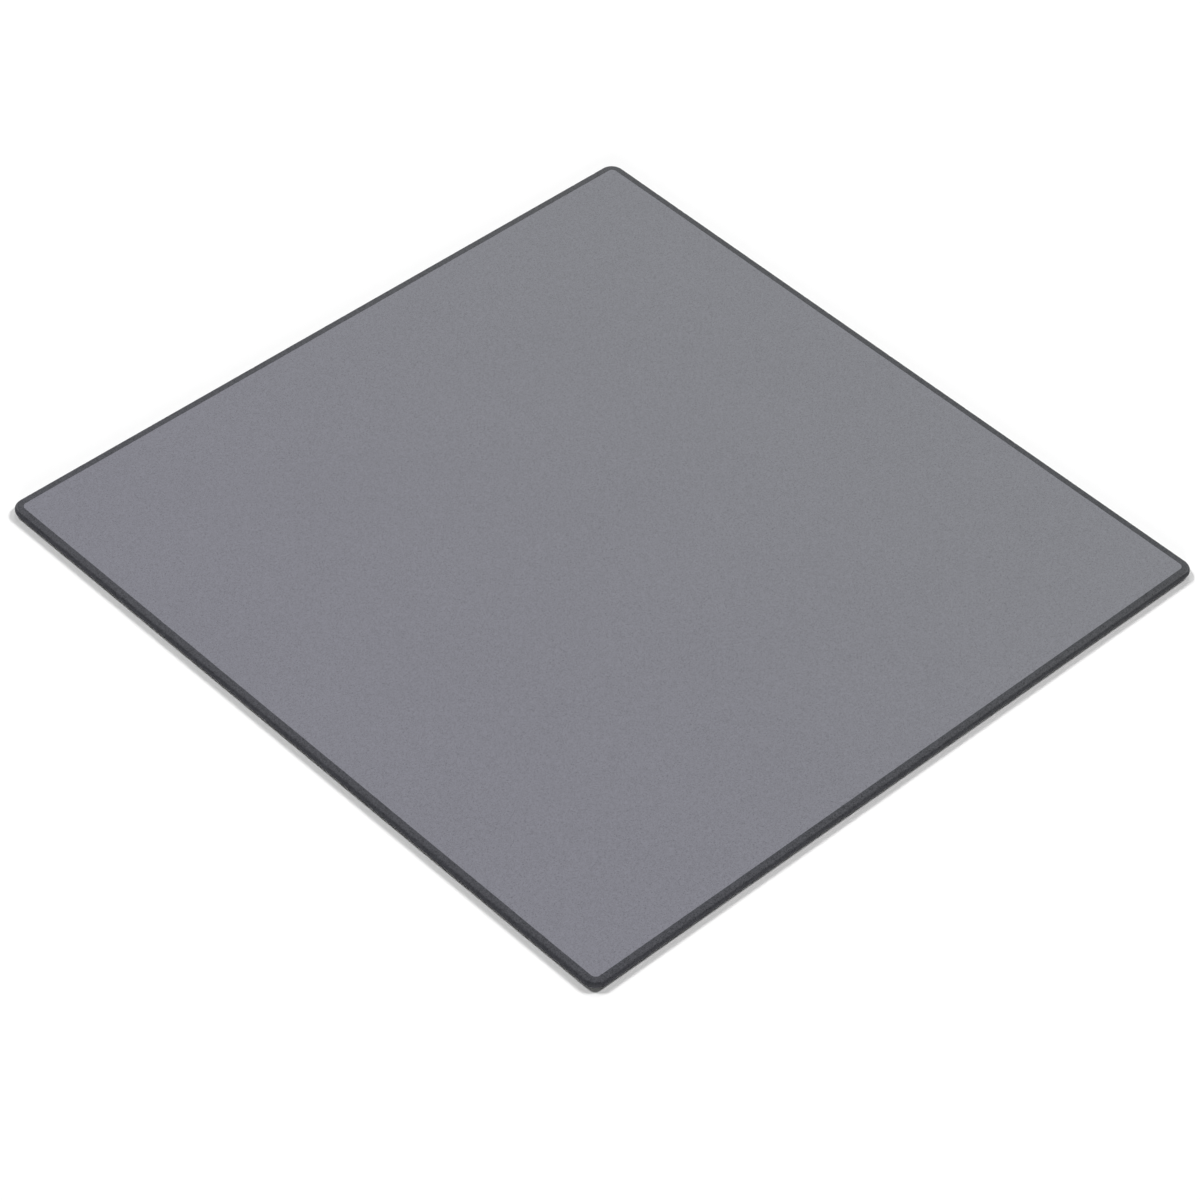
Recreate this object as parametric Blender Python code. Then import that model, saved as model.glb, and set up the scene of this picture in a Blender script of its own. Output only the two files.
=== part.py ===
"""A thin square granite slab for leather work, standing on four self-adhesive rubber feet.

Run it with: blender --background --python part.py
Lengths are in metres and +Z is up. The origin is under the slab's centre, on the surface that
the feet stand on. The slab's sides lie along X and Y, and its front is towards -Y.
"""

import math

import bmesh
import bpy

# ---- Slab -----------------------------------------------------------------------------------
SLAB_SIDE = 0.600  # from one upright side to the opposite one
SLAB_THICKNESS = 0.004  # from the underside to the honed top face
CORNER_RADIUS = 0.0105  # of the outline's four corners, seen from above
RIM_WIDTH = 0.0064  # the polished border, from the upright side in to the honed face
RIM_SLOPE = math.radians(3.0)  # how steeply the polished border falls away from the honed face
EDGE_RADIUS = 0.0025  # of the round-over between the border and the upright side
ARRIS_RADIUS = 0.0006  # of the small round between the upright side and the underside

# ---- Feet -----------------------------------------------------------------------------------
FOOT_DIAMETER = 0.019  # at the glued face
FOOT_HEIGHT = 0.0008  # of the rubber alone
FOOT_SHOULDER = 0.0006  # radius of the round at the foot's lower edge
FOOT_INSET = 0.060  # from the slab's upright side to a foot's centre
ADHESIVE_THICKNESS = 0.0002
ADHESIVE_MARGIN = 0.0005  # the adhesive disc stops this far inside the foot's edge

# ---- Fits and smoothness --------------------------------------------------------------------
CONTACT_GAP = 0.0003  # left between two pieces that lie on each other
CORNER_SEGMENTS = 12  # flats in each quarter circle of the outline
EDGE_SEGMENTS = 8  # flats in the round-over
ARRIS_SEGMENTS = 4  # flats in the arris and in a foot's shoulder
FOOT_SEGMENTS = 48  # flats round a foot or an adhesive disc
SMOOTH_BELOW = math.radians(35)  # faces that meet more gently than this are shaded as one

# ---- What follows from them -----------------------------------------------------------------
ADHESIVE_BOTTOM = FOOT_HEIGHT + CONTACT_GAP
UNDERSIDE = ADHESIVE_BOTTOM + ADHESIVE_THICKNESS + CONTACT_GAP
TOP_FACE = UNDERSIDE + SLAB_THICKNESS
FOOT_OFFSET = SLAB_SIDE / 2 - FOOT_INSET
CORNERS = {
    "front_left": (-1, -1),
    "front_right": (1, -1),
    "back_left": (-1, 1),
    "back_right": (1, 1),
}


def principled(name, colour, roughness):
    """A non-metallic Principled material in one linear colour."""
    material = bpy.data.materials.new(name)
    material.use_nodes = True
    shader = material.node_tree.nodes["Principled BSDF"]
    shader.inputs["Base Color"].default_value = (*colour, 1.0)
    shader.inputs["Roughness"].default_value = roughness
    shader.inputs["Metallic"].default_value = 0.0
    material.diffuse_color = (*colour, 1.0)
    return material


def arc(centre, radius, first, last, segments):
    """Points along a circular arc in the plane, from the first angle to the last, both ends included."""
    angles = [first + (last - first) * k / segments for k in range(segments + 1)]
    return [(centre[0] + radius * math.cos(a), centre[1] + radius * math.sin(a)) for a in angles]


def rounded_square(half_side, radius):
    """The points of a square outline with round corners, anticlockwise seen from above."""
    points = []
    for quarter, (x, y) in enumerate([(1, 1), (-1, 1), (-1, -1), (1, -1)]):
        centre = (x * (half_side - radius), y * (half_side - radius))
        start = quarter * math.pi / 2
        points += arc(centre, radius, start, start + math.pi / 2, CORNER_SEGMENTS)
    return points


def edge_profile():
    """The slab's edge in section as (distance in from the upright side, height), underside to top face."""
    arris = arc(
        (-ARRIS_RADIUS, UNDERSIDE + ARRIS_RADIUS), ARRIS_RADIUS, -math.pi / 2, 0, ARRIS_SEGMENTS
    )
    border_run = RIM_WIDTH - EDGE_RADIUS * (1 - math.sin(RIM_SLOPE))
    border_foot = TOP_FACE - border_run * math.tan(RIM_SLOPE)
    round_centre = (-EDGE_RADIUS, border_foot - EDGE_RADIUS * math.cos(RIM_SLOPE))
    round_over = arc(round_centre, EDGE_RADIUS, 0, math.pi / 2 - RIM_SLOPE, EDGE_SEGMENTS)
    section = arris + round_over + [(-RIM_WIDTH, TOP_FACE)]
    return [(-x, height) for x, height in section]


def add_object(name, mesh_builder, material):
    """Turns a filled bmesh into a named object that is smooth across its gentle edges."""
    bmesh.ops.recalc_face_normals(mesh_builder, faces=mesh_builder.faces)
    mesh = bpy.data.meshes.new(name)
    mesh_builder.to_mesh(mesh)
    mesh_builder.free()
    mesh.shade_smooth()
    mesh.set_sharp_from_angle(angle=SMOOTH_BELOW)
    mesh.materials.append(material)
    piece = bpy.data.objects.new(name, mesh)
    bpy.context.scene.collection.objects.link(piece)
    return piece


def granite_slab(material):
    """The stone: one outline for each point of the edge's section, joined into a closed plate."""
    stone = bmesh.new()
    rings = []
    for inset, height in edge_profile():
        outline = rounded_square(SLAB_SIDE / 2 - inset, CORNER_RADIUS - inset)
        rings.append([stone.verts.new((x, y, height)) for x, y in outline])
    count = len(rings[0])
    for lower, upper in zip(rings, rings[1:]):
        for k in range(count):
            following = (k + 1) % count
            stone.faces.new((lower[k], lower[following], upper[following], upper[k]))
    stone.faces.new(reversed(rings[0]))
    stone.faces.new(rings[-1])
    return add_object("granite_slab", stone, material)


def turned_disc(name, section, centre, material):
    """A closed round piece, turned about an upright axis from a section of (radius, height) points."""
    disc = bmesh.new()
    points = [disc.verts.new((radius, 0, height)) for radius, height in section]
    edges = [disc.edges.new(pair) for pair in zip(points, points[1:])]
    bmesh.ops.spin(
        disc,
        geom=points + edges,
        cent=(0, 0, 0),
        axis=(0, 0, 1),
        angle=2 * math.pi,
        steps=FOOT_SEGMENTS,
        use_merge=True,
    )
    bmesh.ops.holes_fill(disc, edges=disc.edges, sides=FOOT_SEGMENTS)
    piece = add_object(name, disc, material)
    piece.location = (*centre, 0)
    return piece


def rubber_foot(corner, centre, material):
    """A low bumper: flat where it is glued, with a round shoulder down to a flat tread."""
    radius = FOOT_DIAMETER / 2
    shoulder_centre = (radius - FOOT_SHOULDER, FOOT_SHOULDER)
    shoulder = arc(shoulder_centre, FOOT_SHOULDER, -math.pi / 2, 0, ARRIS_SEGMENTS)
    return turned_disc(f"foot_{corner}", shoulder + [(radius, FOOT_HEIGHT)], centre, material)


def adhesive_disc(corner, centre, material):
    """The thin adhesive layer between a foot and the stone."""
    radius = FOOT_DIAMETER / 2 - ADHESIVE_MARGIN
    section = [(radius, ADHESIVE_BOTTOM), (radius, ADHESIVE_BOTTOM + ADHESIVE_THICKNESS)]
    return turned_disc(f"adhesive_disc_{corner}", section, centre, material)


def build():
    """Clears the scene and builds the slab with its feet, all held by one empty."""
    for leftover in list(bpy.data.objects):
        bpy.data.objects.remove(leftover, do_unlink=True)
    granite = principled("granite", (0.21, 0.21, 0.235), 0.5)
    rubber = principled("black_rubber", (0.018, 0.018, 0.019), 0.8)
    adhesive = principled("acrylic_adhesive", (0.55, 0.56, 0.55), 0.35)
    pieces = [granite_slab(granite)]
    for corner, (x, y) in CORNERS.items():
        centre = (x * FOOT_OFFSET, y * FOOT_OFFSET)
        pieces.append(rubber_foot(corner, centre, rubber))
        pieces.append(adhesive_disc(corner, centre, adhesive))
    assembly = bpy.data.objects.new("slab_assembly", None)
    bpy.context.scene.collection.objects.link(assembly)
    for piece in pieces:
        piece.parent = assembly


build()
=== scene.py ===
"""The looks of a thin granite slab for leather work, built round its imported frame.

The slab is one stone with three finishes: a honed top face, a polished border that rounds over
into polished sides, and a sawn underside. It stands on four low rubber feet, each held by a disc
of clear adhesive. Lengths are in metres, +Z is up, and the slab's front is towards -Y.
"""

from __future__ import annotations

import logging
import math
from collections.abc import Mapping, Sequence
from dataclasses import dataclass
from enum import Enum

import bpy
from mathutils import Matrix, Vector


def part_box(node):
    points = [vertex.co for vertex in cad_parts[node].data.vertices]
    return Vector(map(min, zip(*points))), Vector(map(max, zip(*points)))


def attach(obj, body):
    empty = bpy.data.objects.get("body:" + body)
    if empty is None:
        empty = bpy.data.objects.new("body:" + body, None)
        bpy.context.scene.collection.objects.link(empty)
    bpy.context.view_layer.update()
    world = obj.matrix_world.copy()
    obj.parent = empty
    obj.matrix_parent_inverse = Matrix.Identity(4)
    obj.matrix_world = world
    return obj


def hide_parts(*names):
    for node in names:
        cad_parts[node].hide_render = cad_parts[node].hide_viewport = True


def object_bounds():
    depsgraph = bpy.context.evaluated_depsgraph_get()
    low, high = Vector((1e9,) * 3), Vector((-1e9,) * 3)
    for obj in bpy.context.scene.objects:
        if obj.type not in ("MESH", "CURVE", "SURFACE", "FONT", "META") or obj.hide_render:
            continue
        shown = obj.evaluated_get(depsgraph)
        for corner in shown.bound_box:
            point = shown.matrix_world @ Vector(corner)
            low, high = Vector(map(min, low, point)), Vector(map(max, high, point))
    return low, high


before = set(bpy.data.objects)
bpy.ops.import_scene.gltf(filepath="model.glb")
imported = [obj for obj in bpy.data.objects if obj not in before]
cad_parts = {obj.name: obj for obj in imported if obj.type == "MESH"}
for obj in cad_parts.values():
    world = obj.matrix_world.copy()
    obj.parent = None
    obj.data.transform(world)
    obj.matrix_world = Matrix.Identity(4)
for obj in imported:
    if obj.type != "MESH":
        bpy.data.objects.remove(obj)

LOG = logging.getLogger("granite_slab")
CAD_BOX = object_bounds()
WELD = 1e-6  # points closer than this are one
FLAT = 0.9999  # a face looks straight up where its normal's Z is above this
WHITE = (1.0, 1.0, 1.0, 1.0)
WAVE_RATE = 20.0  # radians for each metre across a Wave texture whose scale is 1


# ---- Nodes written as Python ------------------------------------------------------------------
class Wire:
    """A node's output that can be used in arithmetic; each operator adds one Math node."""

    def __init__(self, graph: Graph, socket: bpy.types.NodeSocket) -> None:
        """Keeps the output and the graph that it belongs to."""
        self.graph = graph
        self.socket = socket

    def output(self, name: str) -> Wire:
        """Another output of the same node."""
        return Wire(self.graph, self.socket.node.outputs[name])

    def maths(self, operation: str, *others: Value) -> Wire:
        """Adds a Math node that takes this value first and the others after it."""
        sockets = dict(enumerate((self, *others)))
        return self.graph.node("ShaderNodeMath", {"operation": operation}, sockets)

    def __add__(self, other: Value) -> Wire:
        """This value plus another."""
        return self.maths("ADD", other)

    def __radd__(self, other: Value) -> Wire:
        """Another value plus this one."""
        return self.maths("ADD", other)

    def __sub__(self, other: Value) -> Wire:
        """This value less another."""
        return self.maths("SUBTRACT", other)

    def __rsub__(self, other: float) -> Wire:
        """A number less this value."""
        return self.maths("MULTIPLY_ADD", -1.0, other)

    def __mul__(self, other: Value) -> Wire:
        """This value times another."""
        return self.maths("MULTIPLY", other)

    def __rmul__(self, other: Value) -> Wire:
        """Another value times this one."""
        return self.maths("MULTIPLY", other)

    def __truediv__(self, other: Value) -> Wire:
        """This value divided by another."""
        return self.maths("DIVIDE", other)

    def __neg__(self) -> Wire:
        """This value with its sign changed."""
        return self.maths("MULTIPLY", -1.0)

    def __pow__(self, other: Value) -> Wire:
        """This value raised to a power."""
        return self.maths("POWER", other)

    def __gt__(self, other: Value) -> Wire:
        """1 where this value is the greater, and 0 elsewhere."""
        return self.maths("GREATER_THAN", other)

    def __lt__(self, other: Value) -> Wire:
        """1 where this value is the smaller, and 0 elsewhere."""
        return self.maths("LESS_THAN", other)

    def ramp(self, low: float, high: float) -> Wire:
        """0 below low, 1 above high, and a smooth rise between them."""
        sockets = {"Value": self, "From Min": low, "From Max": high}
        return self.graph.node("ShaderNodeMapRange", {"interpolation_type": "SMOOTHSTEP"}, sockets)


Value = Wire | float | int | Sequence[float]


class Graph:
    """A node tree that is filled from Python, for a material, a shape or the surround."""

    def __init__(self, tree: bpy.types.NodeTree) -> None:
        """Empties the tree and keeps it."""
        tree.nodes.clear()
        self.tree = tree

    def node(
        self,
        kind: str,
        settings: Mapping[str, object] | None = None,
        sockets: Mapping[int | str, object] | None = None,
        output: int | str = 0,
    ) -> Wire:
        """Adds a node, sets it up and feeds its inputs.

        Args:
            kind: The node's type.
            settings: Its properties by name, which are set before its inputs.
            sockets: Values or wires for its inputs, by name or number.
            output: The output to hand back.

        Returns:
            The chosen output.
        """
        made = self.tree.nodes.new(kind)
        for name, value in (settings or {}).items():
            setattr(made, name, value)
        for key, value in (sockets or {}).items():
            if isinstance(value, Wire):
                self.tree.links.new(value.socket, made.inputs[key])
            else:
                made.inputs[key].default_value = value
        return Wire(self, made.outputs[output])

    def mix(self, share: Value, first: Value, second: Value) -> Wire:
        """A colour that goes from the first to the second as share goes from 0 to 1."""
        sockets = {"Factor": share, 6: first, 7: second}
        return self.node("ShaderNodeMix", {"data_type": "RGBA"}, sockets, output=2)

    def scaled(self, colour: Value, factor: Wire) -> Wire:
        """A colour or vector with each part multiplied by one number."""
        sockets = {0: colour, "Scale": factor}
        return self.node("ShaderNodeVectorMath", {"operation": "SCALE"}, sockets)

    def vector(self, x: Value, y: Value, z: Value) -> Wire:
        """A vector from its three parts."""
        return self.node("ShaderNodeCombineXYZ", sockets={"X": x, "Y": y, "Z": z})

    def parts(self, vector: Wire) -> tuple[Wire, Wire, Wire]:
        """The three parts of a vector."""
        split = self.node("ShaderNodeSeparateXYZ", sockets={0: vector}, output="X")
        return split, split.output("Y"), split.output("Z")

    def noise(self, place: Wire, size: float, detail: float = 2.0) -> Wire:
        """Soft noise from about 0 to 1, with blotches of the given size in metres."""
        sockets = {"Vector": place, "Scale": 1 / size, "Detail": detail}
        return self.node("ShaderNodeTexNoise", {"noise_dimensions": "3D"}, sockets)

    def end(self, result: Wire, kind: str) -> None:
        """Joins the tree's result to the first input of a new output node of the given type."""
        target = self.tree.nodes.new(kind)
        self.tree.links.new(result.socket, target.inputs[0])


# ---- Finishes ---------------------------------------------------------------------------------
class MaterialGraph(Graph):
    """A material's node tree, round one Principled shader."""

    def __init__(self, name: str) -> None:
        """Makes the material with an empty tree and its Object coordinates.

        Args:
            name: The material's name.
        """
        self.material = bpy.data.materials.new(name)
        self.material.use_nodes = True
        super().__init__(self.material.node_tree)
        self.place = self.node("ShaderNodeTexCoord", output="Object")

    def blotches(self, size: float, detail: float = 2.0) -> Wire:
        """Soft noise over the piece, with blotches of the given size in metres."""
        return self.noise(self.place, size, detail)

    def cells(self, size: float, place: Wire) -> Wire:
        """Splits the piece into irregular cells.

        Args:
            size: The cells' size in metres.
            place: Where each point is looked up.

        Returns:
            A random number from 0 to 1 for each cell.
        """
        sockets = {"Vector": place, "Scale": 1 / size}
        colour = self.node("ShaderNodeTexVoronoi", sockets=sockets, output="Color")
        return self.node("ShaderNodeSeparateXYZ", sockets={0: colour})

    def warped(self, size: float, amount: float) -> Wire:
        """Pushes the Object coordinates about, so that what is laid on them has ragged edges.

        Args:
            size: The swirls' size in metres.
            amount: How far a point is moved, in metres.

        Returns:
            The moved coordinates.
        """
        swirl = self.blotches(size).output("Color")
        centred = self.node(
            "ShaderNodeVectorMath", {"operation": "SUBTRACT"}, {0: swirl, 1: (0.5, 0.5, 0.5)}
        )
        sockets = {0: centred, 1: (amount,) * 3, 2: self.place}
        return self.node("ShaderNodeVectorMath", {"operation": "MULTIPLY_ADD"}, sockets)

    def bump(self, height: Wire, depth: float, under: Wire | None = None) -> Wire:
        """Turns a height into a normal.

        Args:
            height: The height, from 0 to 1.
            depth: What a height of 1 stands for, in metres.
            under: A normal that this relief lies on, if there is one.

        Returns:
            The normal.
        """
        sockets: dict[int | str, object] = {"Height": height, "Distance": depth, "Strength": 1.0}
        if under is not None:
            sockets["Normal"] = under
        return self.node("ShaderNodeBump", sockets=sockets)

    def finish(self, **sockets: Value) -> bpy.types.Material:
        """Adds the shader and the output.

        Args:
            sockets: The Principled shader's inputs, with an underscore for each space.

        Returns:
            The finished material.
        """
        named = {name.replace("_", " "): value for name, value in sockets.items()}
        shader = self.node("ShaderNodeBsdfPrincipled", sockets=named)
        self.end(shader, "ShaderNodeOutputMaterial")
        return self.material


@dataclass(frozen=True)
class StoneWork:
    """How a face of the stone has been worked, and what that does to its look."""

    name: str
    tint: tuple[float, float, float]
    contrast: float
    flake_depth: float
    roughness: float
    grain_gloss: float
    specular: float
    relief: float
    saw_relief: float = 0.0


class StoneFace(Enum):
    """The three faces of the slab, each with its own working."""

    HONED = StoneWork(
        name="honed_granite",
        tint=(0.1845, 0.1845, 0.2142),
        contrast=0.28,
        flake_depth=0.28,
        roughness=0.56,
        grain_gloss=0.10,
        specular=0.15,
        relief=1.2e-5,
    )
    POLISHED = StoneWork(
        name="polished_granite",
        tint=(0.0556, 0.0567, 0.0655),
        contrast=0.80,
        flake_depth=0.50,
        roughness=0.46,
        grain_gloss=0.14,
        specular=0.12,
        relief=4e-6,
    )
    SAWN = StoneWork(
        name="sawn_granite",
        tint=(0.150, 0.151, 0.162),
        contrast=0.26,
        flake_depth=0.30,
        roughness=0.85,
        grain_gloss=0.06,
        specular=0.30,
        relief=3e-5,
        saw_relief=5e-5,
    )


@dataclass(frozen=True)
class GraniteFinish:
    """A fine-grained grey granite; its crystals run through the stone from face to face."""

    crystal_size: float = 0.0010
    crystal_share: float = 0.55
    grain_size: float = 0.00034
    pit_share: float = 0.6
    flake_size: float = 0.00045
    flake_share: float = 0.12
    swirl_size: float = 0.00045
    swirl_reach: float = 0.00028
    cloud_size: float = 0.110
    cloud_depth: float = 0.05
    drift_reach: float = 0.30
    drift_tint: tuple[float, float, float] = (1.0, 1.020, 0.966)
    saw_centre: tuple[float, float, float] = (0.9, 0.25, 0.0)
    saw_pitch: float = 0.007
    saw_waver: float = 1.5
    # How strongly the saw arcs are painted into the colour: painted shade, darker in the grooves and
    # lighter on the crests.
    saw_painted_shade: float = 0.07

    def minerals(self, graph: MaterialGraph) -> tuple[Wire, Wire]:
        """The stone's own pattern.

        Args:
            graph: The material that the nodes go into.

        Returns:
            The feldspar and quartz, from 0 for a dark crystal to 1 for a pale one, and the mica
            flakes, which are 1 on a flake.
        """
        place = graph.warped(self.swirl_size, self.swirl_reach)
        crystal = graph.cells(self.crystal_size, place)
        grain = graph.cells(self.grain_size, place)
        flakes = graph.cells(self.flake_size, place) < self.flake_share
        return crystal * self.crystal_share + grain * (1 - self.crystal_share), flakes

    def tint(self, graph: MaterialGraph, work: StoneWork) -> Wire:
        """The stone's ground colour, which drifts to a more neutral grey along X.

        Args:
            graph: The material that the nodes go into.
            work: The working of the face.

        Returns:
            The colour.
        """
        x, _, _ = graph.parts(graph.place)
        share = x.ramp(-self.drift_reach, self.drift_reach)
        neutral = [part * change for part, change in zip(work.tint, self.drift_tint)]
        return graph.mix(share, (*work.tint, 1.0), (*neutral, 1.0))

    def make(self, face: StoneFace) -> bpy.types.Material:
        """Makes the material of one face.

        Args:
            face: The face, with its working.

        Returns:
            The material.
        """
        work = face.value
        graph = MaterialGraph(work.name)
        tone, flakes = self.minerals(graph)
        clouds = graph.blotches(self.cloud_size, detail=3.0)
        shade = 1 + (tone - 0.5) * work.contrast + (clouds - 0.5) * self.cloud_depth
        pits = graph.blotches(self.grain_size, detail=4.0)
        height = pits * self.pit_share + tone * (1 - self.pit_share)
        normal = graph.bump(height, work.relief)
        if work.saw_relief:
            marks = self.saw_marks(graph)
            # The arcs are painted into the colour as well, lighter on their crests and darker in
            # their grooves: painted shade that follows the relief.
            shade = shade + (marks - 0.5) * self.saw_painted_shade
            normal = graph.bump(marks, work.saw_relief, normal)
        colour = graph.scaled(self.tint(graph, work), shade * (1 - flakes * work.flake_depth))
        roughness = work.roughness + (tone - 0.5) * work.grain_gloss + flakes * work.grain_gloss
        return graph.finish(
            Base_Color=colour,
            Roughness=roughness,
            Normal=normal,
            Specular_IOR_Level=work.specular,
        )

    def saw_marks(self, graph: MaterialGraph) -> Wire:
        """Shallow arcs that a large blade left across the underside.

        Args:
            graph: The material that the nodes go into.

        Returns:
            The arcs' height, from 0 to 1.
        """
        shifted = graph.node(
            "ShaderNodeMapping", sockets={"Vector": graph.place, "Location": self.saw_centre}
        )
        settings = {"wave_type": "RINGS", "rings_direction": "Z", "wave_profile": "SIN"}
        scale = 2 * math.pi / (WAVE_RATE * self.saw_pitch)
        sockets = {"Vector": shifted, "Scale": scale, "Distortion": self.saw_waver}
        return graph.node("ShaderNodeTexWave", settings, sockets)


@dataclass(frozen=True)
class RubberFinish:
    """Moulded black rubber with a fine matt skin and a little dust."""

    tint: tuple[float, float, float] = (0.018, 0.018, 0.019)
    dust_tint: tuple[float, float, float] = (0.085, 0.083, 0.080)
    dust_size: float = 0.004
    dust_share: float = 0.45
    dust_onset: tuple[float, float] = (0.52, 0.78)
    skin_grain: float = 0.00025
    skin_relief: float = 0.00002
    roughness: float = 0.68
    grain_gloss: float = 0.16
    dust_gloss: float = 0.10

    def make(self) -> bpy.types.Material:
        """Makes the material.

        Returns:
            The material.
        """
        graph = MaterialGraph("moulded_rubber")
        grain = graph.blotches(self.skin_grain, detail=3.0)
        dust = graph.blotches(self.dust_size, detail=4.0).ramp(*self.dust_onset) * self.dust_share
        colour = graph.mix(dust, (*self.tint, 1.0), (*self.dust_tint, 1.0))
        roughness = self.roughness + grain * self.grain_gloss + dust * self.dust_gloss
        normal = graph.bump(grain, self.skin_relief)
        return graph.finish(Base_Color=colour, Roughness=roughness, Normal=normal)


@dataclass(frozen=True)
class AdhesiveFinish:
    """Clear acrylic adhesive on a thin carrier, milky where small bubbles are caught."""

    tint: tuple[float, float, float] = (0.46, 0.47, 0.45)
    bubble_tint: tuple[float, float, float] = (0.66, 0.67, 0.65)
    bubble_size: float = 0.0009
    bubble_onset: tuple[float, float] = (0.72, 0.95)
    bubble_share: float = 0.7
    bubble_relief: float = 0.00003
    bubble_gloss: float = 0.20
    streak_size: float = 0.006
    streak_share: float = 0.2
    roughness: float = 0.28

    def make(self) -> bpy.types.Material:
        """Makes the material.

        Returns:
            The material.
        """
        graph = MaterialGraph("acrylic_adhesive")
        bubbles = graph.cells(self.bubble_size, graph.place).ramp(*self.bubble_onset)
        streaks = graph.blotches(self.streak_size)
        milk = bubbles * self.bubble_share + streaks * self.streak_share
        colour = graph.mix(milk, (*self.tint, 1.0), (*self.bubble_tint, 1.0))
        roughness = self.roughness + bubbles * self.bubble_gloss
        normal = graph.bump(bubbles, self.bubble_relief)
        return graph.finish(Base_Color=colour, Roughness=roughness, Normal=normal)


@dataclass(frozen=True)
class FloorFinish:
    """A plain white studio floor."""

    tint: tuple[float, float, float] = (0.90, 0.90, 0.90)
    roughness: float = 0.9
    specular: float = 0.1

    def make(self) -> bpy.types.Material:
        """Makes the material.

        Returns:
            The material.
        """
        return MaterialGraph("studio_white").finish(
            Base_Color=(*self.tint, 1.0),
            Roughness=self.roughness,
            Specular_IOR_Level=self.specular,
        )


# ---- Shapes made by rule ----------------------------------------------------------------------
class ShapeGraph(Graph):
    """A Geometry Nodes tree with named inputs, which is turned into plain meshes."""

    KINDS = {float: "NodeSocketFloat", Vector: "NodeSocketVector"}

    def __init__(self, name: str) -> None:
        """Makes an empty tree that hands out one geometry.

        Args:
            name: The tree's name.
        """
        super().__init__(bpy.data.node_groups.new(name, "GeometryNodeTree"))
        self.tree.interface.new_socket(
            "Geometry", in_out="OUTPUT", socket_type="NodeSocketGeometry"
        )
        self.entry = self.tree.nodes.new("NodeGroupInput")
        self.identifiers: dict[str, str] = {}

    def given(self, name: str, kind: type = float) -> Wire:
        """Adds a named input.

        Args:
            name: The input's name.
            kind: float or Vector.

        Returns:
            The input's value.
        """
        made = self.tree.interface.new_socket(
            name, in_out="INPUT", socket_type=self.KINDS[kind]
        )
        self.identifiers[name] = made.identifier
        return Wire(self, self.entry.outputs[name])

    def changed(self, kind: str, geometry: Wire, chosen: Wire | None, **given: object) -> Wire:
        """Adds a node that changes a geometry, or only the chosen part of it.

        Args:
            kind: The node's type.
            geometry: What it changes.
            chosen: Above 0 where it acts, or None to act everywhere.
            given: Its other inputs by name.

        Returns:
            The changed geometry.
        """
        sockets: dict[int | str, object] = {"Geometry": geometry, **given}
        if chosen is not None:
            sockets["Selection"] = chosen
        return self.node(kind, sockets=sockets)

    def moved(self, geometry: Wire, place: Wire) -> Wire:
        """The geometry with its points put at a new place."""
        return self.changed("GeometryNodeSetPosition", geometry, None, Position=place)

    def nudged(self, geometry: Wire, offset: Wire, chosen: Wire | None = None) -> Wire:
        """The geometry with its chosen points moved by an offset."""
        return self.changed("GeometryNodeSetPosition", geometry, chosen, Offset=offset)

    def dressed(
        self, geometry: Wire, material: bpy.types.Material, chosen: Wire | None = None
    ) -> Wire:
        """The geometry with its chosen faces in a material."""
        return self.changed("GeometryNodeSetMaterial", geometry, chosen, Material=material)

    def mesh_object(self, name: str, values: Mapping[str, object]) -> bpy.types.Object:
        """Runs the tree and keeps its result as a plain mesh.

        Args:
            name: The piece's name.
            values: The tree's inputs by name.

        Returns:
            An object at the origin that holds the mesh and has no modifier.
        """
        piece = bpy.data.objects.new(name, bpy.data.meshes.new(name))
        bpy.context.scene.collection.objects.link(piece)
        modifier = piece.modifiers.new("shape", "NODES")
        modifier.node_group = self.tree
        for label, value in values.items():
            modifier[self.identifiers[label]] = value
        bpy.context.view_layer.update()
        evaluated = piece.evaluated_get(bpy.context.evaluated_depsgraph_get())
        made = bpy.data.meshes.new_from_object(evaluated)
        piece.modifiers.remove(modifier)
        for slot in reversed(range(len(made.materials))):
            if made.materials[slot] is None:
                made.materials.pop(index=slot)
        piece.data = made
        made.name = name
        return piece


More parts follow.
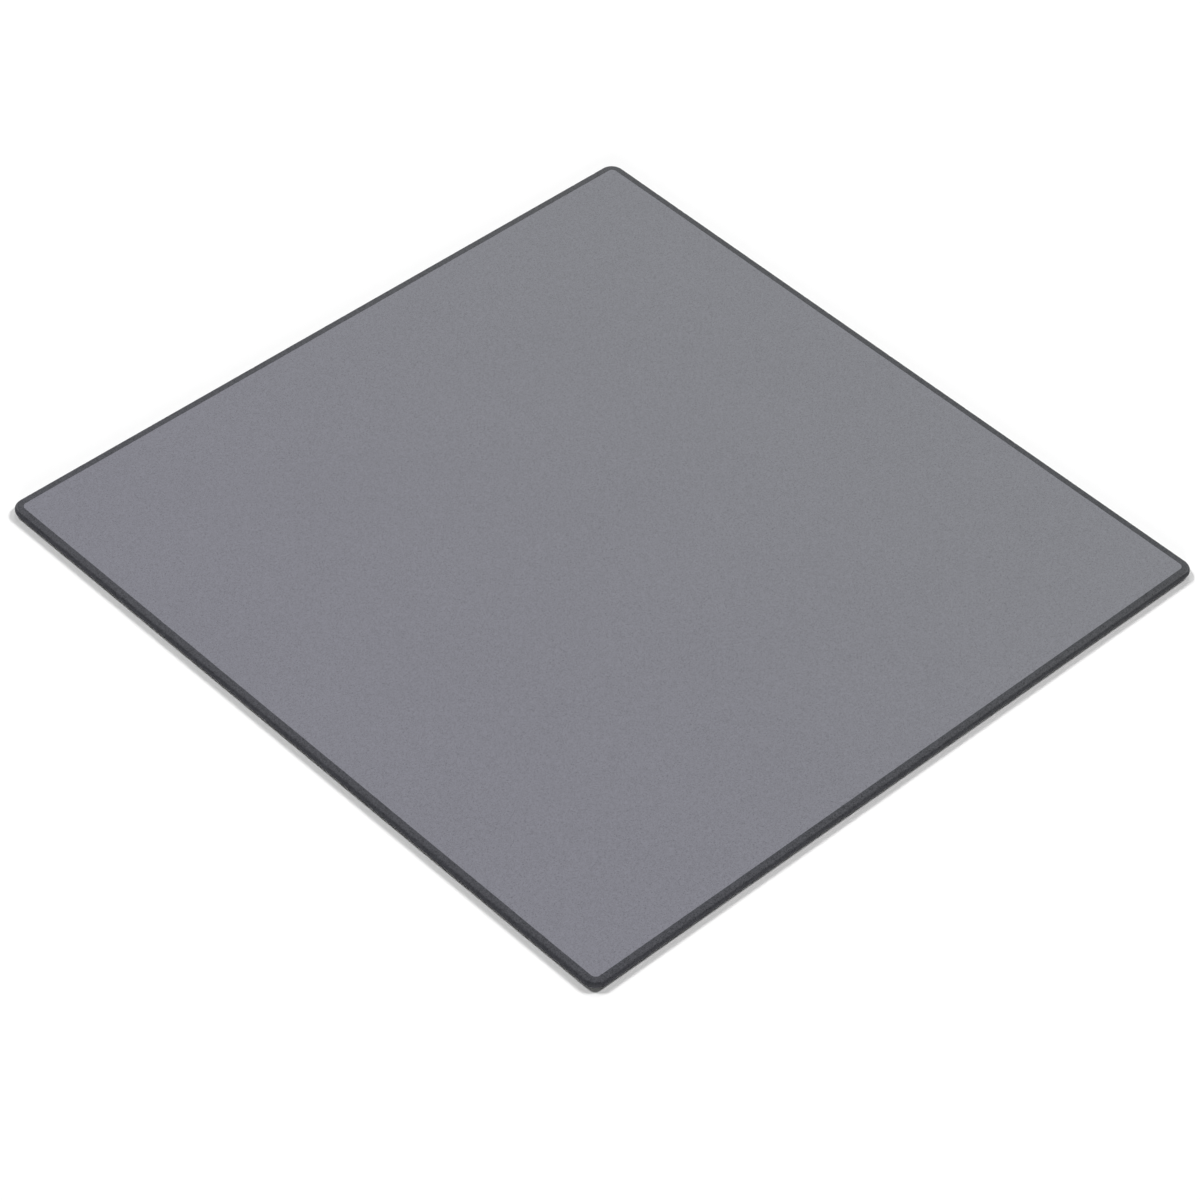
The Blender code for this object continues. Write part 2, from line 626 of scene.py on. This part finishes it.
# ---- The stone --------------------------------------------------------------------------------
@dataclass
class StoneSlab:
    """The slab: a square outline with round corners, swept with the section of its edge."""

    node: str = "granite_slab"
    corner_radius: float = 0.0105
    rim_width: float = 0.0064
    rim_slope: float = math.radians(3.0)
    edge_radius: float = 0.0025
    arris_radius: float = 0.0006
    outline_step: float = 0.0012
    corner_steps: int = 24
    round_steps: int = 10
    border_wander: float = 0.0004
    wander_length: float = 0.030
    chip_depth: float = 0.00035
    chip_length: float = 0.0035
    chip_onset: tuple[float, float] = (0.62, 0.74)

    def section(self, graph: ShapeGraph, top: Wire, underside: Wire) -> Wire:
        """The edge's section as an open line, from the underside round to the honed face.

        The sweep lays a section's Y axis downwards, so each height is negated.

        Args:
            graph: The tree that the nodes go into.
            top: The height of the honed face.
            underside: The height of the underside.

        Returns:
            The line, with its outward direction along X.
        """
        rim = graph.given("Rim Width")
        fall = graph.given("Rim Fall")
        edge = graph.given("Edge Radius")
        arris = graph.given("Arris Radius")
        corners = {
            "Point 1": graph.vector(-rim, -underside, 0.0),
            "Point 2": graph.vector(0.0, -underside, 0.0),
            "Point 3": graph.vector(0.0, fall - top, 0.0),
            "Point 4": graph.vector(-rim, -top, 0.0),
        }
        loop = graph.node("GeometryNodeCurvePrimitiveQuadrilateral", {"mode": "POINTS"}, corners)
        line = graph.node("GeometryNodeSetSplineCyclic", sockets={0: loop, "Cyclic": False})
        # The corners are counted from 0, and the last two are the top ones.
        at_top = graph.node("GeometryNodeInputIndex") > 1.5
        radius = arris + (edge - arris) * at_top
        rounded = {"Curve": line, "Count": self.round_steps, "Radius": radius}
        return graph.node("GeometryNodeFilletCurve", {"mode": "POLY"}, rounded)

    def outline(self, graph: ShapeGraph) -> Wire:
        """The square with round corners, seen from above, with its straight sides cut in short steps.

        Args:
            graph: The tree that the nodes go into.

        Returns:
            The closed line.
        """
        side = graph.given("Side")
        corner = graph.given("Corner Radius")
        step = graph.given("Outline Step")
        square = graph.node(
            "GeometryNodeCurvePrimitiveQuadrilateral",
            {"mode": "RECTANGLE"},
            {"Width": side, "Height": side},
        )
        rounded = {"Curve": square, "Count": self.corner_steps, "Radius": corner}
        smooth = graph.node("GeometryNodeFilletCurve", {"mode": "POLY"}, rounded)
        index = graph.node("GeometryNodeInputIndex")
        side_start = index.maths("MODULO", self.corner_steps + 1) > self.corner_steps - 0.5
        cuts = ((side - corner * 2) / step).maths("FLOOR") * side_start
        return graph.node("GeometryNodeSubdivideCurve", sockets={"Curve": smooth, "Cuts": cuts})

    def cap(self, graph: ShapeGraph, rim: Wire, open_edge: Wire, height: Wire) -> Wire:
        """A flat face that closes one open edge of the swept rim.

        Args:
            graph: The tree that the nodes go into.
            rim: The swept rim.
            open_edge: Above 0 on the edge to close.
            height: The face's height.

        Returns:
            The face, looking up.
        """
        loop = graph.node(
            "GeometryNodeMeshToCurve", sockets={"Mesh": rim, "Selection": open_edge}
        )
        face = graph.node("GeometryNodeFillCurve", {"mode": "NGONS"}, {"Curve": loop})
        x, y, _ = graph.parts(graph.node("GeometryNodeInputPosition"))
        return graph.moved(face, graph.vector(x, y, height))

    def body(self, graph: ShapeGraph, top: Wire, underside: Wire) -> Wire:
        """The closed stone: its swept rim and the two flat faces that fill it.

        Args:
            graph: The tree that the nodes go into.
            top: The height of the honed face.
            underside: The height of the underside.

        Returns:
            The stone, smooth round its rim and with one mesh for all of it.
        """
        section = self.section(graph, top, underside)
        upright = graph.node(
            "GeometryNodeSetCurveNormal", {"mode": "Z_UP"}, {"Curve": self.outline(graph)}
        )
        swept = graph.node(
            "GeometryNodeCurveToMesh", sockets={"Curve": upright, "Profile Curve": section}
        )
        outward = graph.node("GeometryNodeFlipFaces", sockets={"Mesh": swept})
        rim = graph.node("GeometryNodeSetShadeSmooth", sockets={"Geometry": outward})
        _, _, z = graph.parts(graph.node("GeometryNodeInputPosition"))
        # An open edge has one face, and every other edge has two.
        open_edge = graph.node("GeometryNodeInputMeshEdgeNeighbors") < 1.5
        upper = z > (top + underside) * 0.5
        honed = self.cap(graph, rim, open_edge * upper, top)
        sawn = self.cap(graph, rim, open_edge * (1 - upper), underside)
        sawn = graph.node("GeometryNodeFlipFaces", sockets={"Mesh": sawn})
        whole = graph.node("GeometryNodeJoinGeometry")
        for part in (rim, honed, sawn):
            graph.tree.links.new(part.socket, whole.socket.node.inputs[0])
        return graph.node(
            "GeometryNodeMergeByDistance", sockets={"Geometry": whole, "Distance": WELD}
        )

    def worn(self, graph: ShapeGraph, stone: Wire, top: Wire) -> Wire:
        """Makes the stone as a hand leaves it, with a wandering border line and chipped rounds.

        Args:
            graph: The tree that the nodes go into.
            stone: The new stone.
            top: The height of the honed face.

        Returns:
            The worn stone.
        """
        place = graph.node("GeometryNodeInputPosition")
        _, _, z = graph.parts(place)
        x, y, _ = graph.parts(graph.noise(place, self.wander_length).output("Color"))
        wander = graph.given("Border Wander")
        drift = graph.vector((x - 0.5) * wander, (y - 0.5) * wander, 0.0)
        stone = graph.nudged(stone, drift, z > top - WELD)
        normal = graph.node("GeometryNodeInputNormal")
        _, _, up = graph.parts(normal)
        steep = up * up
        roundness = steep * (1 - steep) * 4
        chips = graph.noise(place, self.chip_length).ramp(*self.chip_onset)
        depth = graph.given("Chip Depth") * chips * roundness
        return graph.nudged(stone, graph.scaled(normal, -depth))

    def finished(self, graph: ShapeGraph, stone: Wire, finish: GraniteFinish) -> Wire:
        """Gives each face its own finish, told apart by which way it looks.

        Args:
            graph: The tree that the nodes go into.
            stone: The shaped stone.
            finish: What the stone is made of.

        Returns:
            The dressed stone.
        """
        _, _, up = graph.parts(graph.node("GeometryNodeInputNormal"))
        polished = graph.dressed(stone, finish.make(StoneFace.POLISHED))
        honed = graph.dressed(polished, finish.make(StoneFace.HONED), up > FLAT)
        return graph.dressed(honed, finish.make(StoneFace.SAWN), up < -FLAT)

    def shape(self, finish: GraniteFinish) -> ShapeGraph:
        """Builds the tree that makes the stone.

        Args:
            finish: The stone, which gives each face its material.

        Returns:
            The tree.
        """
        graph = ShapeGraph("stone_slab")
        underside = graph.given("Underside")
        top = underside + graph.given("Thickness")
        stone = self.worn(graph, self.body(graph, top, underside), top)
        real = graph.node("GeometryNodeRealizeInstances", sockets={"Geometry": stone})
        graph.end(self.finished(graph, real, finish), "NodeGroupOutput")
        return graph

    def build(self, finish: GraniteFinish) -> list[bpy.types.Object]:
        """Makes the stone in the place of its CAD node.

        Args:
            finish: The stone's finish.

        Returns:
            The finished piece, in a list.
        """
        low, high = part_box(self.node)
        values = {
            "Side": high.x - low.x,
            "Thickness": high.z - low.z,
            "Underside": low.z,
            "Corner Radius": self.corner_radius,
            "Rim Width": self.rim_width,
            "Rim Fall": self.rim_width * math.tan(self.rim_slope),
            "Edge Radius": self.edge_radius,
            "Arris Radius": self.arris_radius,
            "Outline Step": self.outline_step,
            "Border Wander": self.border_wander,
            "Chip Depth": self.chip_depth,
        }
        stone = self.shape(finish).mesh_object("stone", values)
        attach(stone, "root")
        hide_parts(self.node)
        return [stone]


# ---- The feet ---------------------------------------------------------------------------------
class Corner(Enum):
    """The slab's four corners, as they are named in the frame."""

    FRONT_LEFT = "front_left"
    FRONT_RIGHT = "front_right"
    BACK_LEFT = "back_left"
    BACK_RIGHT = "back_right"


@dataclass
class StickOnFoot:
    """A low round rubber foot with a grooved tread, and the adhesive that holds it to the stone."""

    corner: Corner
    shoulder: float = 0.0006
    groove_pitch: float = 0.0016
    groove_depth: float = 0.00025
    plain_centre: float = 0.0016
    plain_edge: float = 0.0004
    squeeze: float = 0.0002
    squeeze_length: float = 0.004
    seam: float = 0.00002
    turns: int = 96
    rings: int = 64
    side_rings: int = 6
    crease: float = math.radians(50)

    @property
    def foot_node(self) -> str:
        """The rubber foot's CAD node."""
        return f"foot_{self.corner.value}"

    @property
    def adhesive_node(self) -> str:
        """The adhesive disc's CAD node."""
        return f"adhesive_disc_{self.corner.value}"

    def disc(self, graph: ShapeGraph, radius: Wire, rings: int) -> tuple[Wire, Wire, Wire, Wire]:
        """A closed disc about the origin, and what its points' places are worked out from.

        Args:
            graph: The tree that the nodes go into.
            radius: The disc's radius.
            rings: How many rings its two flat faces are cut into.

        Returns:
            The mesh, each point's X and Y, and its share of the height, 0 below and 1 above.
        """
        sockets = {
            "Vertices": self.turns,
            "Side Segments": self.side_rings,
            "Fill Segments": rings,
            "Radius": radius,
            "Depth": 1.0,
        }
        mesh = graph.node(
            "GeometryNodeMeshCylinder", {"fill_type": "TRIANGLE_FAN"}, sockets, output="Mesh"
        )
        x, y, z = graph.parts(graph.node("GeometryNodeInputPosition"))
        return mesh, x, y, z + 0.5

    def placed(self, graph: ShapeGraph, disc: Wire, material: bpy.types.Material) -> ShapeGraph:
        """Ends a disc's tree: it is shaded smooth, put in its place and dressed.

        Args:
            graph: The tree.
            disc: The shaped disc, about the origin.
            material: The disc's material.

        Returns:
            The tree.
        """
        centre = graph.given("Centre", Vector)
        moved = graph.node(
            "GeometryNodeTransform", sockets={"Geometry": disc, "Translation": centre}
        )
        smooth = graph.node("GeometryNodeSetShadeSmooth", sockets={"Geometry": moved})
        real = graph.node("GeometryNodeRealizeInstances", sockets={"Geometry": smooth})
        graph.end(graph.dressed(real, material), "NodeGroupOutput")
        return graph

    def rubber_shape(self, rubber: bpy.types.Material) -> ShapeGraph:
        """Builds the tree that makes the foot, with a rolled lower edge and a grooved tread.

        Args:
            rubber: The foot's material.

        Returns:
            The tree.
        """
        graph = ShapeGraph("rubber_foot")
        disc, x, y, share = self.disc(graph, graph.given("Radius"), self.rings)
        tread_radius = graph.given("Tread Radius")
        height = graph.given("Height")
        shoulder = graph.given("Shoulder")
        reach = (x * x + y * y).maths("SQRT")
        past = (reach - tread_radius).maths("MAXIMUM", 0.0)
        drop = (shoulder * shoulder - past * past).maths("MAXIMUM", 0.0).maths("SQRT")
        rolled = shoulder - drop
        tread = (reach > self.plain_centre) * (reach < tread_radius - self.plain_edge)
        wave = 0.5 - (reach * (2 * math.pi / self.groove_pitch)).maths("COSINE") * 0.5
        floor = rolled + wave**2 * graph.given("Groove Depth") * tread
        raised = floor + (height - floor) * share
        return self.placed(graph, graph.moved(disc, graph.vector(x, y, raised)), rubber)

    def adhesive_shape(self, adhesive: bpy.types.Material) -> ShapeGraph:
        """Builds the tree that makes the adhesive, which bulges a little where it is squeezed.

        Args:
            adhesive: The adhesive's material.

        Returns:
            The tree.
        """
        graph = ShapeGraph("adhesive_disc")
        radius = graph.given("Radius")
        disc, x, y, share = self.disc(graph, radius, 1)
        place = graph.node("GeometryNodeInputPosition")
        uneven = graph.noise(place, self.squeeze_length) + 0.5
        bulge = share * (1 - share) * 4 * uneven * graph.given("Squeeze")
        growth = 1 + bulge / radius
        raised = share * graph.given("Height")
        spread = graph.vector(x * growth, y * growth, raised)
        return self.placed(graph, graph.moved(disc, spread), adhesive)

    def piece(
        self, name: str, graph: ShapeGraph, values: Mapping[str, object], node: str, slot: str
    ) -> bpy.types.Object:
        """Makes one piece from its tree and books it in the frame.

        Args:
            name: The piece's name, without its corner.
            graph: The tree that makes it.
            values: The tree's inputs by name.
            node: The CAD node that it stands for.
            slot: The record's material slot; it is not used.

        Returns:
            The piece.
        """
        made = graph.mesh_object(f"{name}_{self.corner.value}", values)
        made.data.set_sharp_from_angle(angle=self.crease)
        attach(made, "root")
        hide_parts(node)
        return made

    def build(
        self, rubber: bpy.types.Material, adhesive: bpy.types.Material
    ) -> list[bpy.types.Object]:
        """Makes the foot and its adhesive in the place of their CAD nodes.

        Args:
            rubber: The foot's material.
            adhesive: The adhesive's material.

        Returns:
            The two pieces.
        """
        low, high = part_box(self.foot_node)
        glue_low, glue_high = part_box(self.adhesive_node)
        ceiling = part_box("granite_slab")[0].z
        middle = (low + high) / 2
        foot_values = {
            "Radius": (high.x - low.x) / 2,
            "Tread Radius": (high.x - low.x) / 2 - self.shoulder,
            "Height": high.z - low.z,
            "Centre": (middle.x, middle.y, low.z),
            "Groove Depth": self.groove_depth,
            "Shoulder": self.shoulder,
        }
        glue_values = {
            "Radius": (glue_high.x - glue_low.x) / 2,
            "Height": ceiling - high.z - 2 * self.seam,
            "Centre": (middle.x, middle.y, high.z + self.seam),
            "Squeeze": self.squeeze,
        }
        foot = self.rubber_shape(rubber)
        glue = self.adhesive_shape(adhesive)
        return [
            self.piece("rubber_foot", foot, foot_values, self.foot_node, "foot_rubber"),
            self.piece("foot_adhesive", glue, glue_values, self.adhesive_node, "foot_adhesive"),
        ]


# ---- The studio -------------------------------------------------------------------------------
@dataclass(frozen=True)
class SoftSun:
    """A far, wide lamp that lights the whole scene evenly.

    Its angles are in degrees, with the azimuth counted from +X.
    """

    name: str
    azimuth: float
    elevation: float
    power: float
    spread: float = 13.0
    distance: float = 3.0

    def build(self) -> bpy.types.Object:
        """Hangs the lamp so that it shines from its azimuth and elevation.

        Returns:
            The lamp.
        """
        lamp = bpy.data.lights.new(self.name, "SUN")
        lamp.energy = self.power
        lamp.angle = math.radians(self.spread)
        holder = bpy.data.objects.new(self.name, lamp)
        turn, rise = math.radians(self.azimuth), math.radians(self.elevation)
        away = Vector(
            (math.cos(turn) * math.cos(rise), math.sin(turn) * math.cos(rise), math.sin(rise))
        )
        holder.rotation_euler = away.to_track_quat("Z", "Y").to_euler()
        holder.location = away * self.distance
        bpy.context.scene.collection.objects.link(holder)
        return holder


@dataclass
class Studio:
    """The white floor, the soft light and the camera."""

    floor_reach: float = 20.0
    sky_strength: float = 0.06
    lamps: tuple[SoftSun, ...] = (
        SoftSun("lamp_right", azimuth=0, elevation=36, power=2.42),
        SoftSun("lamp_back", azimuth=90, elevation=38.5, power=2.27),
        SoftSun("lamp_far_corner", azimuth=45, elevation=33, power=0.68),
        SoftSun("lamp_front_fill", azimuth=225, elevation=10, power=1.20),
    )
    camera_azimuth: float = math.radians(-47.351)
    camera_elevation: float = math.radians(44.382)
    camera_roll: float = math.radians(4.623)
    camera_distance: float = 3.1658
    camera_focal: float = 135.16
    camera_sensor: float = 36.0
    camera_clip: float = 60.0
    aim: tuple[float, float] = (-0.0478, -0.0444)

    def floor(self) -> bpy.types.Object:
        """Lays the floor under the feet.

        Returns:
            The floor.
        """
        reach = self.floor_reach
        level = CAD_BOX[0].z
        mesh = bpy.data.meshes.new("studio_floor")
        ends = ((-reach, -reach), (reach, -reach), (reach, reach), (-reach, reach))
        mesh.from_pydata([(x, y, level) for x, y in ends], [], [(0, 1, 2, 3)])
        mesh.materials.append(FloorFinish().make())
        floor = bpy.data.objects.new("studio_floor", mesh)
        bpy.context.scene.collection.objects.link(floor)
        return floor

    def surround(self) -> bpy.types.World:
        """Makes a white surround that is bright to look at but sheds little light from above.

        Below the horizon it is bright too, which shows the underside once the floor is put away.

        Returns:
            The surround.
        """
        world = bpy.data.worlds.new("studio")
        world.use_nodes = True
        graph = Graph(world.node_tree)
        _, _, up = graph.parts(graph.node("ShaderNodeTexCoord", output="Generated"))
        looked_at = graph.node("ShaderNodeLightPath", output="Is Camera Ray")
        bright = (up < 0.0).maths("MAXIMUM", looked_at)
        strength = self.sky_strength + (1 - self.sky_strength) * bright
        sky = graph.node("ShaderNodeBackground", sockets={"Color": WHITE, "Strength": strength})
        graph.end(sky, "ShaderNodeOutputWorld")
        return world

    def light(self) -> None:
        """Sets the surround and hangs the lamps."""
        bpy.context.scene.world = self.surround()
        for lamp in self.lamps:
            lamp.build()
        bpy.context.scene.view_settings.view_transform = "Standard"

    def camera(self) -> bpy.types.Object:
        """Stands the camera over the slab's front left corner, looking down at it.

        Returns:
            The camera.
        """
        lens = bpy.data.cameras.new("camera")
        lens.lens = self.camera_focal
        lens.sensor_width = self.camera_sensor
        lens.clip_end = self.camera_clip
        holder = bpy.data.objects.new("camera", lens)
        azimuth, elevation = self.camera_azimuth, self.camera_elevation
        back = Vector(
            (
                math.sin(azimuth) * math.cos(elevation),
                -math.cos(azimuth) * math.cos(elevation),
                math.sin(elevation),
            )
        )
        target = Vector((*self.aim, CAD_BOX[1].z))
        level = (-back).to_track_quat("-Z", "Y").to_matrix()
        turned = (level @ Matrix.Rotation(self.camera_roll, 3, "Z")).to_quaternion()
        holder.matrix_world = Matrix.LocRotScale(target + back * self.camera_distance, turned, None)
        bpy.context.scene.collection.objects.link(holder)
        bpy.context.scene.camera = holder
        return holder

    def build(self) -> None:
        """Makes the floor, the light and the camera."""
        self.floor()
        self.light()
        self.camera()


def main() -> None:
    """Builds the studio, the stone and the feet."""
    logging.basicConfig(level=logging.INFO, format="%(message)s")
    Studio().build()
    pieces = StoneSlab().build(GraniteFinish())
    rubber, adhesive = RubberFinish().make(), AdhesiveFinish().make()
    for corner in Corner:
        pieces += StickOnFoot(corner).build(rubber, adhesive)
    for piece in pieces:
        LOG.info("%s: %d faces", piece.name, len(piece.data.polygons))


if __name__ == "__main__":
    main()
